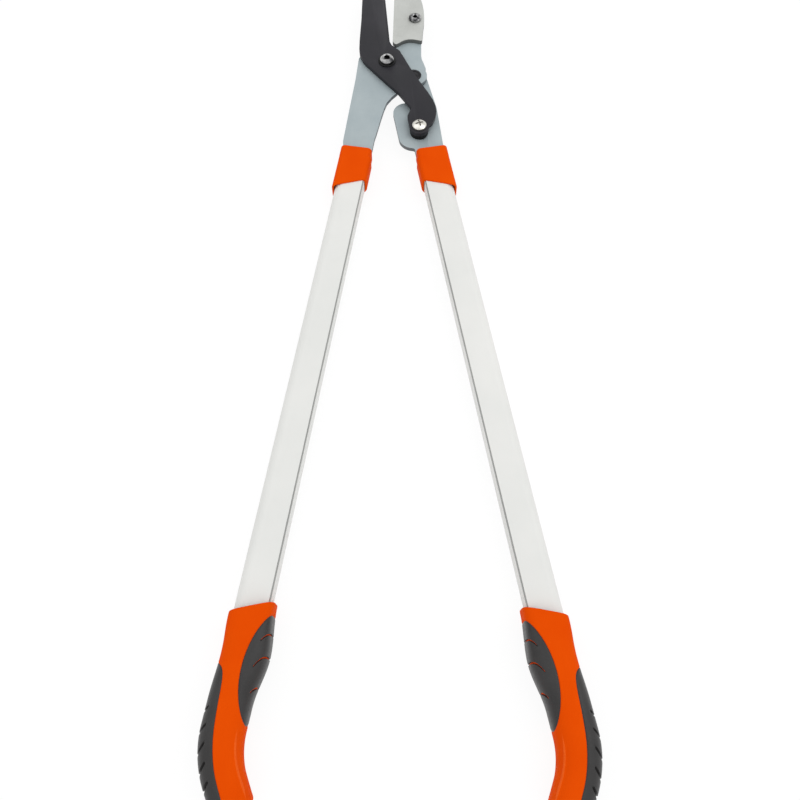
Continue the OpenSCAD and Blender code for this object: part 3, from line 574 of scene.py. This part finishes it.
def collar(side):
    """Rings from the mouth's inside over the top rim, the lip and the body to the slanted lower rim."""
    half_w, half_t = COLLAR_W / 2, COLLAR_T / 2
    tilt = math.tan(math.radians(COLLAR_SLANT))
    # Each ring: inset from the full section, place along the handle, share of the lower rim's slant
    rings = [(3.2, 3.0, 0), (2.6, 0.25, 0), (LIP_STEP + 0.6, 0.0, 0), (LIP_STEP + 0.25, 0.1, 0),
             (LIP_STEP + 0.05, 0.4, 0), (LIP_STEP, 0.8, 0), (LIP_STEP, LIP_LEN - 0.5, 0),
             (LIP_STEP - 0.15, LIP_LEN - 0.15, 0), (0.12, LIP_LEN + 0.15, 0), (0, LIP_LEN + 0.6, 0)]
    for k in range(1, 12):
        rings.append((0, None, k / 12))
    rings += [(0, COLLAR_LEN - 0.9, 1), (0.15, COLLAR_LEN - 0.35, 1), (0.5, COLLAR_LEN - 0.05, 1),
              (1.0, COLLAR_LEN, 1), (1.6, COLLAR_LEN - 0.2, 1), (1.75, COLLAR_LEN - 2.5, 1)]
    points, count = [], None
    for inset, s, share in rings:
        in_lip = s is not None and s < LIP_LEN + 0.2
        step = min(inset, LIP_STEP) if in_lip else 0
        round_in = inset - step
        corner = LIP_CORNER_R if in_lip else COLLAR_R - 2
        section = rounded_box(half_w - round_in - step / 2, half_t - round_in, max(corner - round_in * 0.6, 2))
        count = len(section)
        for x, z in section:
            x += step / 2
            if s is None:
                low = COLLAR_LEN - 0.9 - tilt * (half_w - x)
                place = LIP_LEN + 0.6 + (low - LIP_LEN - 0.6) * share
            else:
                place = s - tilt * (half_w - x) * share
            points.append((x, -place, z))
    faces = []
    for r in range(len(rings) - 1):
        for i in range(count):
            j = (i + 1) % count
            faces.append((r * count + i, r * count + j, (r + 1) * count + j, (r + 1) * count + i))
    name = side + "_collar"
    build(name + "_look", points, faces, side, BODY_OF[name], "orange_plastic", [name], 50)


# Grips, from the same formulas as the solids, with the seams, grooves and notches cut in

BEND_LEN = math.radians(BEND_TURN) * BEND_R
BOW_LEN = 0.8 * GRIP_STRAIGHT
GRIP_LEN = GRIP_STRAIGHT + BEND_LEN + GRIP_TAIL


def clamped(t):
    return min(1.0, max(0.0, t))


def smooth(t):
    t = clamped(t)
    return t * t * (3 - 2 * t)


def mix(a, b, t):
    return a + (b - a) * t


def grip_mid(t):
    if t < GRIP_STRAIGHT:
        x = mix(-TOP_SHIFT, WAIST_SHIFT, clamped(t / GRIP_STRAIGHT))
        return x - BOW * math.sin(math.pi * clamped(t / BOW_LEN)) ** 2, -t
    a = min(t - GRIP_STRAIGHT, BEND_LEN) / BEND_R
    past = max(0.0, t - GRIP_STRAIGHT - BEND_LEN)
    return (WAIST_SHIFT - BEND_R * (1 - math.cos(a)) - past * math.sin(a),
            -GRIP_STRAIGHT - BEND_R * math.sin(a) - past * math.cos(a))


def grip_across(t):
    a = max(0.0, min(t - GRIP_STRAIGHT, BEND_LEN)) / BEND_R
    return math.cos(a), -math.sin(a)


def ring_slant(t):
    top = math.tan(math.radians(RIM_SLANT)) * (1 - smooth(t / 30))
    butt = smooth((t - GRIP_STRAIGHT - BEND_LEN / 2) / (BEND_LEN / 2 + GRIP_TAIL))
    return top + math.tan(math.radians(BUTT_SLANT)) * butt


def half_w_at(t):
    plain = mix(TOP_HALF_W, WAIST_HALF_W, clamped(t / GRIP_STRAIGHT))
    swollen = mix(plain, GRIP_HALF_W, math.sin(math.pi * clamped(t / BOW_LEN)) ** 2)
    return swollen - BUTT_TAPER * smooth((t - GRIP_STRAIGHT) / (BEND_LEN + GRIP_TAIL))


def half_t_at(t):
    return (mix(GRIP_HALF_T - 1.6, GRIP_HALF_T, smooth(t / 24))
            - 0.8 * smooth((t - GRIP_STRAIGHT) / BEND_LEN))


def signed_power(v, e):
    return math.copysign(abs(v) ** e, v)


def strip_offset(t):
    lengths, offsets = zip(*STRIP)
    return sum(float(np.interp(t + d, lengths, offsets)) for d in (-0.6, 0.0, 0.6)) / 3


class Skin:
    """A mesh whose faces can be split along the levels of a field on its points."""

    def __init__(self):
        self.points = []
        self.extra = []
        self.faces = []

    def split(self, field, level):
        values = [field(p, e) - level for p, e in zip(self.points, self.extra)]
        made = {}

        def between(i, j):
            key = (min(i, j), max(i, j))
            if key not in made:
                f = values[i] / (values[i] - values[j])
                self.points.append(tuple(mix(a, b, f) for a, b in zip(self.points[i], self.points[j])))
                self.extra.append(tuple(mix(a, b, f) for a, b in zip(self.extra[i], self.extra[j])))
                made[key] = len(self.points) - 1
            return made[key]

        faces = []
        for face in self.faces:
            signs = [values[i] > 0 for i in face]
            if all(signs) or not any(signs):
                faces.append(face)
                continue
            over, under = [], []
            for k, i in enumerate(face):
                j = face[(k + 1) % len(face)]
                (over if values[i] > 0 else under).append(i)
                if (values[i] > 0) != (values[j] > 0):
                    cut = between(i, j)
                    over.append(cut)
                    under.append(cut)
            faces += [tuple(f) for f in (over, under) if len(f) > 2]
        self.faces = faces

    def centre(self, face):
        n = len(face)
        return (tuple(sum(self.points[i][k] for i in face) / n for k in range(3)),
                tuple(sum(self.extra[i][k] for i in face) / n for k in range(2)))


def inner_field(p, e):
    """Distance outside the inner pad's outline."""
    return math.hypot(p[0] + PAD_EDGE + PAD_R, p[1] + PAD_MID) - PAD_R


def outer_field(p, e):
    """Distance outside the outer pad's outline."""
    return strip_offset(e[0]) - e[1]


def groove_line(x, groove):
    side_t, end_t, end_x = groove
    share = clamped((x + 19.5) / (end_x + 19.5))
    return side_t + (end_t - side_t) * share ** 1.8


def groove_field(groove):
    return lambda p, e: (-p[1] - groove_line(p[0], groove)) * 0.86


def notch_field(notch):
    side_t, length, rise = notch
    return lambda p, e: (e[0] - side_t + (half_w_at(e[0]) - e[1]) * rise) * 0.6


def grip_skin():
    skin = Skin()
    sides = 108
    stations = [(0.0, 2.6), (0.0, 1.0), (0.1, 0.6), (0.3, 0.25), (0.7, 0.06), (1.2, 0.0)]
    stations += [(t, 0.0) for t in np.arange(2.6, GRIP_LEN - 0.5, 1.6)]
    for a in range(0, 91, 9):
        r = math.radians(a)
        stations.append((GRIP_LEN + BUTT_ROUND * math.sin(r) * 0.97, BUTT_ROUND * (1 - math.cos(r))))
    for shrink in (5.0, 7.0, 9.0, 11.0, 13.0):
        stations.append((GRIP_LEN + BUTT_ROUND * 0.97, shrink))
    for t, shrink in stations:
        mx, my = grip_mid(t)
        ax, ay = grip_across(t)
        slant = ring_slant(t)
        rx, ry = ax + slant * ay, ay - slant * ax
        w, h = half_w_at(t) - shrink - SKIN_INSET, half_t_at(t) - shrink - SKIN_INSET
        for i in range(sides):
            a = 2 * math.pi * i / sides
            power = GRIP_POWER + 1.6 * (1 - smooth(t / 45))
            u = w * signed_power(math.cos(a), 2 / power)
            v = h * signed_power(math.sin(a), 2 / power)
            skin.points.append((mx + rx * u, my + ry * u, v))
            skin.extra.append((t + slant * u, u))
    for r in range(len(stations) - 1):
        for i in range(sides):
            j = (i + 1) % sides
            a, b = r * sides, (r + 1) * sides
            skin.faces.append((a + i, a + j, b + j, b + i))
    last = (len(stations) - 1) * sides
    skin.faces.append(tuple(last + i for i in range(sides)))
    return skin


SEAM = ((0.0, 0.55), (0.35, 0.2), (0.8, 0.0))


def seam_depth(distance):
    d = abs(distance)
    for (a, da), (b, db) in zip(SEAM, SEAM[1:]):
        if d <= b:
            return mix(da, db, (d - a) / (b - a))
    return 0.0


def ridge_share(t):
    return smooth((t - 77) / 13) * (1 - smooth((t - GRIP_LEN + 10) / 8))


def ridge_field(p, e):
    if e[0] < 74 or p[2] < 4:
        return 9.0
    return (e[1] + RIDGE_PLACE) / max(ridge_share(e[0]), 0.02)


def grip(side):
    skin = grip_skin()
    for field in (inner_field, outer_field):
        for level in (-0.8, -0.35, 0.0, 0.35, 0.8):
            skin.split(field, level)
    grooves = [(groove_field(g), g) for g in GROOVES]
    notches = [(notch_field(n), n) for n in NOTCHES]
    for level in (-1.3, 1.3):
        skin.split(lambda p, e: e[1] + RIDGE_PLACE if e[0] > 74 and abs(p[2]) > 4 else 9.0, level)
    for level in (-0.55, 0.55):
        skin.split(ridge_field, level)
    for field, _ in grooves:
        for level in (-0.65, -0.32, 0.32, 0.65):
            skin.split(lambda p, e, f=field: f(p, e) if inner_field(p, e) < 1.5 else 9.0, level)
    for field, _ in notches:
        for level in (-0.7, -0.3, 0.3, 0.7):
            skin.split(lambda p, e, f=field: f(p, e) if outer_field(p, e) < 1.5 else 9.0, level)

    def groove_share(p, g):
        return smooth((g[2] + 0.6 - p[0]) / 2.2)

    def notch_share(e, n):
        return smooth((e[1] - (half_w_at(e[0]) - n[1])) / 1.6)

    shifted = []
    for p, e in zip(skin.points, skin.extra):
        depth = max(seam_depth(inner_field(p, e)), seam_depth(outer_field(p, e)))
        if inner_field(p, e) < 0:
            for field, g in grooves:
                d = abs(field(p, e))
                depth = max(depth, 1.25 * groove_share(p, g) * clamped((0.65 - d) / 0.33))
        if outer_field(p, e) < 0:
            for field, n in notches:
                d = abs(field(p, e))
                depth = max(depth, 1.6 * notch_share(e, n) * clamped((0.7 - d) / 0.4))
        ridge = RIDGE_RISE * ridge_share(e[0])
        ridge *= clamped((1.3 - abs(e[1] + RIDGE_PLACE)) / 0.9) * (p[2] > 0)
        if abs(ridge) > 0.01:
            depth -= ridge
        if depth != 0:
            mx, my = grip_mid(min(e[0], GRIP_LEN - 6))
            away = np.array([p[0] - mx, p[1] - my, p[2]])
            ax, ay = grip_across(min(e[0], GRIP_LEN - 6))
            if e[0] < GRIP_LEN - 8:
                along = away[0] * ay * -1 + away[1] * ax
                away = away - along * np.array([-ay, ax, 0])
            away = away / max(np.linalg.norm(away), 1e-6)
            p = tuple(np.array(p) - depth * away)
        shifted.append((p[0], p[1] - GRIP_START[side], p[2]))

    groups = {"grip_body": [], "grip_inner_pad": [], "grip_outer_pad": [], "pad_slits": [], "grip_ridge": []}
    for face in skin.faces:
        p, e = skin.centre(face)
        if inner_field(p, e) < 0:
            slit = any(abs(f(p, e)) < 0.32 and groove_share(p, g) > 0.45 for f, g in grooves)
            groups["pad_slits" if slit else "grip_inner_pad"].append(face)
        elif outer_field(p, e) < 0:
            groups["grip_outer_pad"].append(face)
        elif abs(ridge_field(p, e)) < 0.55:
            groups["grip_ridge"].append(face)
        else:
            groups["grip_body"].append(face)
    for key, faces in groups.items():
        used = sorted({i for f in faces for i in f})
        index = {old: new for new, old in enumerate(used)}
        points = [shifted[i] for i in used]
        faces = [tuple(index[i] for i in f) for f in faces]
        node = side + "_" + key
        slot = "grip_rubber" if key in ("grip_inner_pad", "grip_outer_pad") else "orange_plastic"
        stands_for = [] if key in ("pad_slits", "grip_ridge") else [node]
        build(node + "_look", points, faces, side, BODY_OF[side + "_grip_body"], slot, stands_for, 42)
        # The ridge strip gets the lighter orange: painted highlight
        if key == "grip_ridge":
            bpy.data.objects[node + "_look"].data.materials[0] = MATERIALS["orange_painted_highlight"]


for side in ("left", "right"):
    tube(side)
    collar(side)
    grip(side)


# Camera: from the grips' side, 65 degrees above the surface that the tool lies on

def camera():
    yaw, tilt, roll = (math.radians(v) for v in (-0.0087, 24.8566, 0.11))
    distance = 614.8472
    aim = Vector((-0.1856, -95.79, 15.5))
    around = Matrix.Rotation(yaw, 3, "Z")
    back = around @ Vector((0, -math.sin(tilt), math.cos(tilt)))
    right = around @ Vector((1, 0, 0))
    up = back.cross(right)
    right, up = (math.cos(roll) * right + math.sin(roll) * up, -math.sin(roll) * right + math.cos(roll) * up)
    data = bpy.data.cameras.new("camera")
    data.sensor_width = 36
    data.sensor_fit = "HORIZONTAL"
    data.lens = 764 / 800 * 36
    data.clip_start = 0.01
    data.clip_end = 20
    obj = bpy.data.objects.new("camera", data)
    bpy.context.scene.collection.objects.link(obj)
    m = Matrix((right, up, back)).transposed().to_4x4()
    m.translation = (aim + back * distance) / 1000
    obj.matrix_world = m
    bpy.context.scene.camera = obj


# Stage: a pale floor, a white world and soft lamps

def seen_white(tree):
    """1 for what the camera sees, also in a glossy or clear surface, and 0 for what lights the part."""
    path = tree.nodes.new("ShaderNodeLightPath")
    total = path.outputs["Is Camera Ray"]
    for ray in ("Is Glossy Ray", "Is Transmission Ray"):
        add = tree.nodes.new("ShaderNodeMath")
        add.operation = "ADD"
        add.use_clamp = True
        tree.links.new(total, add.inputs[0])
        tree.links.new(path.outputs[ray], add.inputs[1])
        total = add.outputs[0]
    return total


def floor():
    mesh = bpy.data.meshes.new("floor")
    size = 3.0
    mesh.from_pydata([(-size, -size, -0.0004), (size, -size, -0.0004), (size, size, -0.0004),
                      (-size, size, -0.0004)], [], [(0, 1, 2, 3)])
    obj = bpy.data.objects.new("floor", mesh)
    bpy.context.scene.collection.objects.link(obj)
    s = Shader("floor")
    shade = s.mix(s.noise(6, 2), srgb(250, 250, 250), srgb(252, 252, 252))
    s.done(shade, 0.9, None, Specular_IOR_Level=0.0)
    glow = s.node("ShaderNodeEmission")
    glow.inputs["Color"].default_value = (1, 1, 1, 1)
    glow.inputs["Strength"].default_value = 1.02
    share = s.node("ShaderNodeMath", operation="MULTIPLY")
    share.inputs[1].default_value = 0.89
    blend = s.node("ShaderNodeMixShader")
    s.link(seen_white(s.tree), share.inputs[0])
    s.link(share.outputs[0], blend.inputs[0])
    s.link(s.bsdf.outputs[0], blend.inputs[1])
    s.link(glow.outputs[0], blend.inputs[2])
    s.link(blend.outputs[0], s.tree.nodes["Material Output"].inputs["Surface"])
    mesh.materials.append(s.material)


def world():
    """White to the camera; for the light, bright overhead and darker towards the horizon."""
    w = bpy.data.worlds.new("world")
    bpy.context.scene.world = w
    w.use_nodes = True
    tree = w.node_tree
    back = tree.nodes["Background"]
    back.inputs["Color"].default_value = (1, 1, 1, 1)
    coords = tree.nodes.new("ShaderNodeTexCoord")
    split = tree.nodes.new("ShaderNodeSeparateXYZ")
    sky = tree.nodes.new("ShaderNodeMapRange")
    sky.interpolation_type = "SMOOTHSTEP"
    sky.inputs["From Min"].default_value = 0.0
    sky.inputs["From Max"].default_value = 0.85
    sky.inputs["To Min"].default_value = 0.69
    sky.inputs["To Max"].default_value = 0.88
    blend = tree.nodes.new("ShaderNodeMix")
    blend.inputs["B"].default_value = 1.0
    tree.links.new(coords.outputs["Generated"], split.inputs[0])
    tree.links.new(split.outputs["Z"], sky.inputs["Value"])
    tree.links.new(seen_white(tree), blend.inputs["Factor"])
    tree.links.new(sky.outputs["Result"], blend.inputs["A"])
    tree.links.new(blend.outputs["Result"], back.inputs["Strength"])


def lamp(name, place, aim, size, power):
    data = bpy.data.lights.new(name, "AREA")
    data.shape = "RECTANGLE"
    data.size, data.size_y = size
    data.energy = power
    obj = bpy.data.objects.new(name, data)
    obj.location = place
    obj.rotation_euler = (Vector(aim) - Vector(place)).to_track_quat("-Z", "Y").to_euler()
    bpy.context.scene.collection.objects.link(obj)


camera()
floor()
world()
lamp("key", (-0.8, 0.3, 1.5), (0, 0, 0), (1.2, 1.6), 3.2)
lamp("fill", (0.9, 0.1, 1.4), (0, 0, 0), (1.2, 1.6), 5.8)
bpy.context.scene.view_settings.view_transform = "Standard"


def plain(box):
    return [[float(v) for v in corner] for corner in box]
